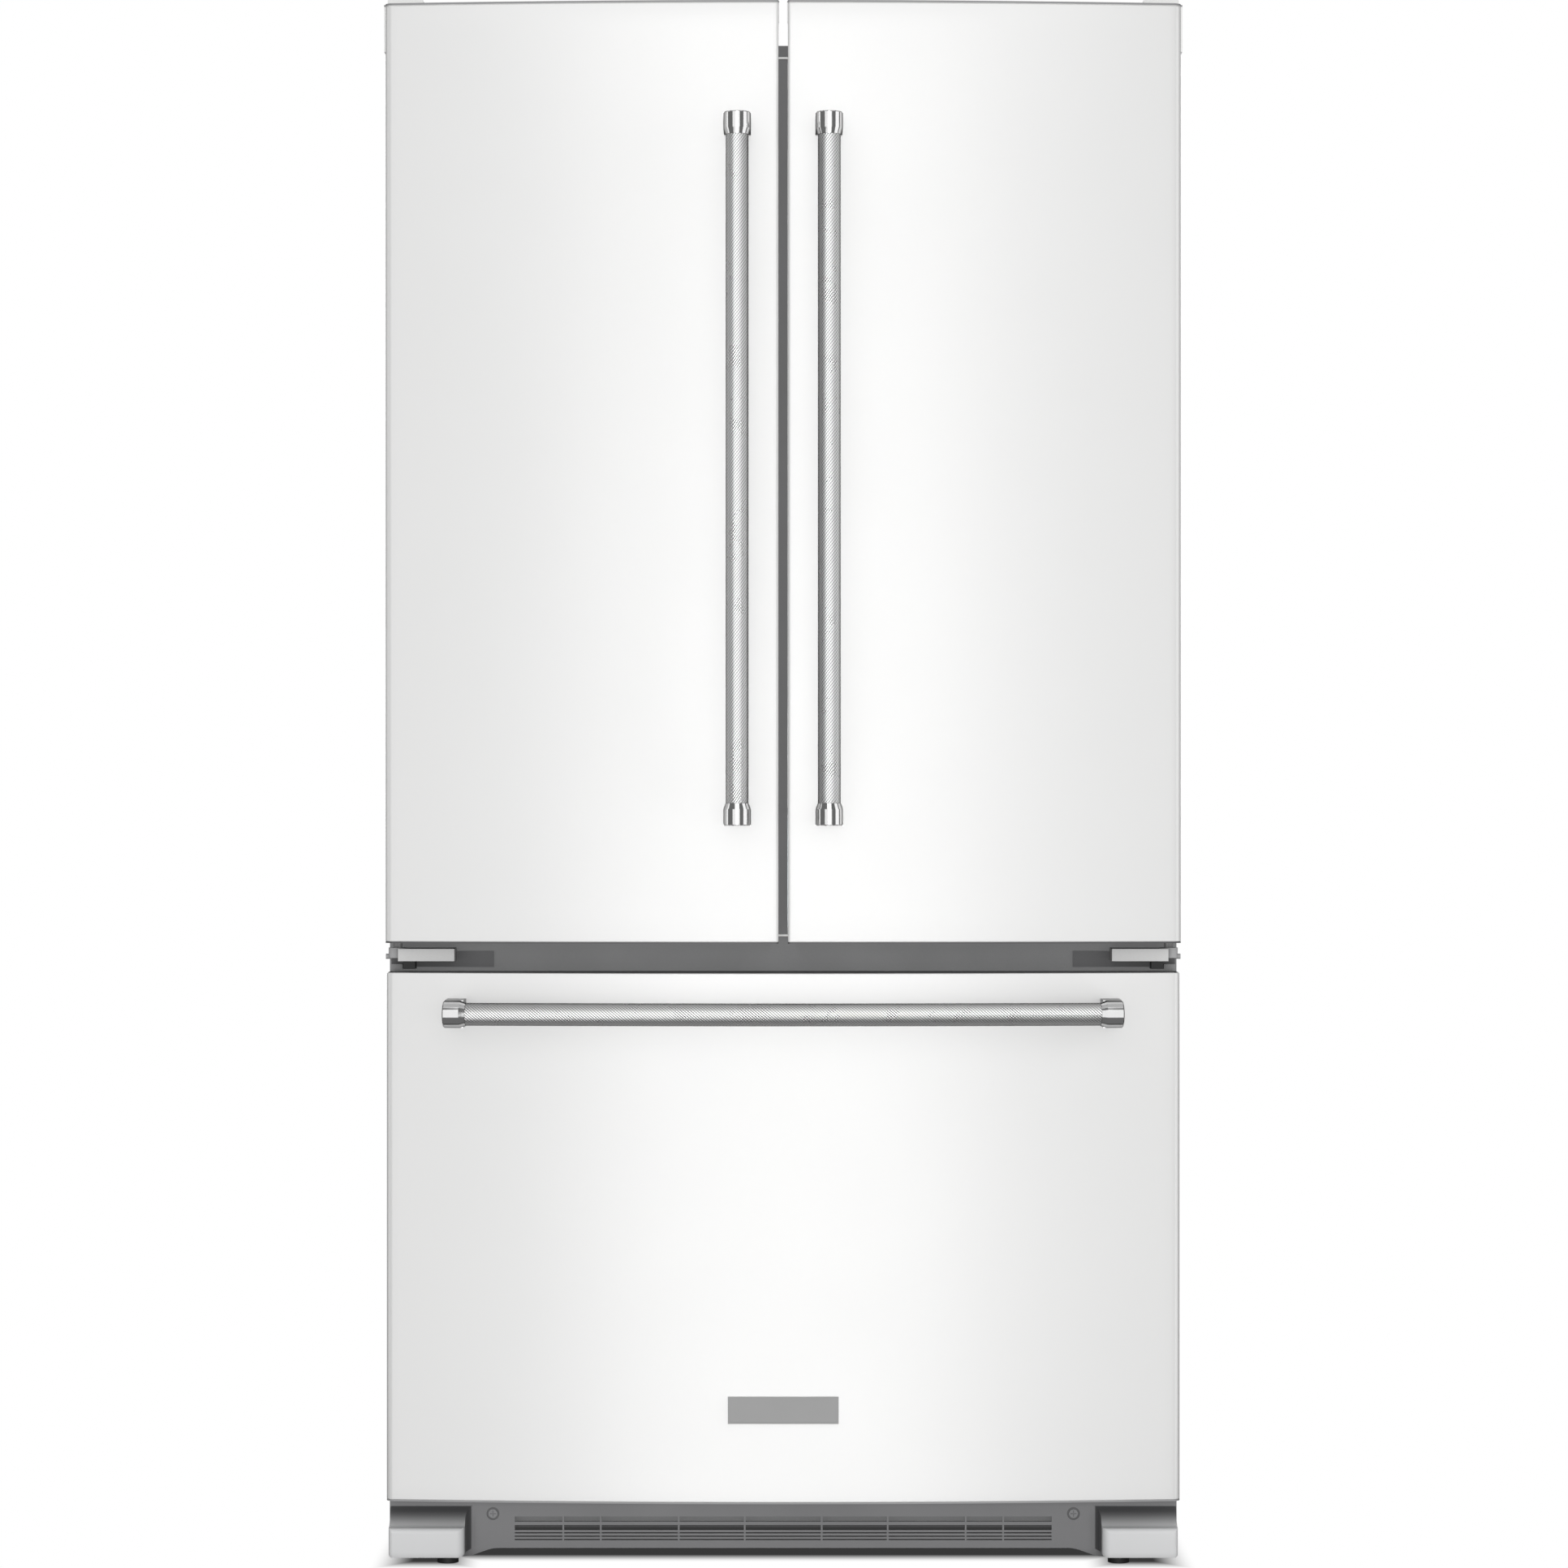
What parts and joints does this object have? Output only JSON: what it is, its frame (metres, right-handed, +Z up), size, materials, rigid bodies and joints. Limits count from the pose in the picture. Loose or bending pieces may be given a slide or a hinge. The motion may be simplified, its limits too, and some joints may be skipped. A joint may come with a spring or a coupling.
{
  "type": "french door refrigerator",
  "caption": "Counter-depth refrigerator with two curved fridge doors side by side over a full-width freezer drawer, knurled bar handles and a louvred base grille.",
  "frame": {"origin": "on the floor, under the centre of the overall box", "axes": "+Z up, front of the refrigerator towards -Y, +X to the right seen from the front"},
  "size_m": [0.907, 0.79, 1.781],
  "materials": {
    "white_paint": "gloss",
    "platinum_paint": "satin",
    "zinc_steel": "satin",
    "insulation_foam": "matte",
    "white_plastic": "semi-gloss",
    "grey_plastic": "satin",
    "dark_plastic": "matte",
    "clear_plastic": "clear gloss",
    "shelf_glass": "clear",
    "gasket_rubber": "matte",
    "knurled_steel": "knurled, satin",
    "polished_steel": "polished",
    "black_enamel": "semi-gloss",
    "coil_aluminium": "satin",
    "badge_steel": "brushed"
  },
  "bodies": {
    "cabinet": {"cabinet_wrapper": "platinum_paint", "back_panel": "zinc_steel", "base_frame": "zinc_steel", "cabinet_insulation": "insulation_foam", "fridge_liner": "white_plastic", "freezer_liner": "white_plastic", "grille_screws": "zinc_steel", "top_hinges": "zinc_steel", "hinge_covers": "white_plastic", "center_hinges": "grey_plastic", "base_grille": "grey_plastic", "drawer_slide_rails": "zinc_steel", "compressor": "black_enamel", "condenser": "black_enamel", "condenser_fan_motor": "dark_plastic", "rear_cover": "zinc_steel", "water_valve": "zinc_steel", "evaporator": "coil_aluminium", "evaporator_cover": "white_plastic", "shelf_frames": "white_plastic", "shelf_glass": "shelf_glass", "control_panel": "white_plastic", "water_dispenser": "grey_plastic", "ice_maker": "white_plastic"},
    "left_door": {"left_door_skin": "white_paint", "left_door_liner": "white_plastic", "left_door_end_caps": "grey_plastic", "left_door_gasket": "gasket_rubber", "left_door_bins": "clear_plastic", "left_handle_bar": "knurled_steel", "left_handle_ends": "polished_steel"},
    "right_door": {"right_door_skin": "white_paint", "right_door_liner": "white_plastic", "right_door_end_caps": "grey_plastic", "right_door_gasket": "gasket_rubber", "right_door_bins": "clear_plastic", "right_handle_bar": "knurled_steel", "right_handle_ends": "polished_steel"},
    "mullion_flap": {"flip_mullion": "dark_plastic"},
    "freezer_drawer": {"drawer_skin": "white_paint", "drawer_liner": "white_plastic", "drawer_end_caps": "grey_plastic", "drawer_gasket": "gasket_rubber", "drawer_handle_bar": "knurled_steel", "drawer_handle_ends": "polished_steel", "badge_plate": "badge_steel", "freezer_basket": "white_plastic", "drawer_slide_inner": "zinc_steel"},
    "slide_middles": {"drawer_slide_middle": "zinc_steel"},
    "freezer_upper_basket": {"upper_basket": "white_plastic"},
    "left_crisper": {"crisper_left": "clear_plastic"},
    "right_crisper": {"crisper_right": "clear_plastic"},
    "pantry": {"pantry_drawer": "clear_plastic"},
    "filter_flap": {"filter_door": "white_plastic"},
    "water_button": {"dispenser_button": "polished_steel"},
    "cooling_fan": {"condenser_fan": "dark_plastic"},
    "freezer_fan": {"evaporator_fan": "dark_plastic"},
    "rollers": {"rear_rollers": "dark_plastic"},
    "left_leg": {"leveling_leg_left": "dark_plastic"},
    "right_leg": {"leveling_leg_right": "dark_plastic"}
  },
  "joints": [
    {"name": "left_door_hinge", "type": "hinge", "parent": "cabinet", "child": "left_door", "pos_m": [-0.4395, -0.28, 0.7], "axis": [0, 0, -1], "range_deg": [0, 130]},
    {"name": "mullion_flap_pivot", "type": "hinge", "parent": "left_door", "child": "mullion_flap", "pos_m": [-0.042, -0.244, 1.2], "axis": [0, 0, 1], "range_deg": [0, 80]},
    {"name": "right_door_hinge", "type": "hinge", "parent": "cabinet", "child": "right_door", "pos_m": [0.4395, -0.28, 0.7], "axis": [0, 0, 1], "range_deg": [0, 130]},
    {"name": "freezer_drawer_slide", "type": "slide", "parent": "cabinet", "child": "freezer_drawer", "axis": [0, -1, 0], "range_m": [0, 0.43]},
    {"name": "slide_middle_slide", "type": "slide", "parent": "cabinet", "child": "slide_middles", "axis": [0, -1, 0], "range_m": [0, 0.215]},
    {"name": "upper_basket_slide", "type": "slide", "parent": "cabinet", "child": "freezer_upper_basket", "axis": [0, -1, 0], "range_m": [0, 0.258]},
    {"name": "left_crisper_slide", "type": "slide", "parent": "cabinet", "child": "left_crisper", "axis": [0, -1, 0], "range_m": [0, 0.085]},
    {"name": "right_crisper_slide", "type": "slide", "parent": "cabinet", "child": "right_crisper", "axis": [0, -1, 0], "range_m": [0, 0.085]},
    {"name": "pantry_slide", "type": "slide", "parent": "cabinet", "child": "pantry", "axis": [0, -1, 0], "range_m": [0, 0.085]},
    {"name": "filter_flap_hinge", "type": "hinge", "parent": "cabinet", "child": "filter_flap", "pos_m": [0.24, -0.152, 1.661], "axis": [1, 0, 0], "range_deg": [0, 90]},
    {"name": "water_button_press", "type": "slide", "parent": "cabinet", "child": "water_button", "axis": [-1, 0, 0], "range_m": [0, 0.004], "stiffness_N_per_m": 300, "springref_m": -0.003},
    {"name": "cooling_fan_spin", "type": "hinge", "parent": "cabinet", "child": "cooling_fan", "pos_m": [-0.05, 0.286, 0.146], "axis": [1, 0, 0], "continuous": true},
    {"name": "freezer_fan_spin", "type": "hinge", "parent": "cabinet", "child": "freezer_fan", "pos_m": [0, 0.3, 0.606], "axis": [0, 1, 0], "continuous": true},
    {"name": "roller_spin", "type": "hinge", "parent": "cabinet", "child": "rollers", "pos_m": [0, 0.33, 0.022], "axis": [1, 0, 0], "continuous": true},
    {"name": "left_leg_turn", "type": "hinge", "parent": "cabinet", "child": "left_leg", "pos_m": [-0.383, -0.272, 0.03], "axis": [0, 0, 1], "continuous": true},
    {"name": "right_leg_turn", "type": "hinge", "parent": "cabinet", "child": "right_leg", "pos_m": [0.383, -0.272, 0.03], "axis": [0, 0, 1], "continuous": true}
  ],
  "couplings": [
    {"joint": "mullion_flap_pivot", "follows": "left_door_hinge", "ratio": 0.615},
    {"joint": "slide_middle_slide", "follows": "freezer_drawer_slide", "ratio": 0.5},
    {"joint": "upper_basket_slide", "follows": "freezer_drawer_slide", "ratio": 0.6}
  ]
}
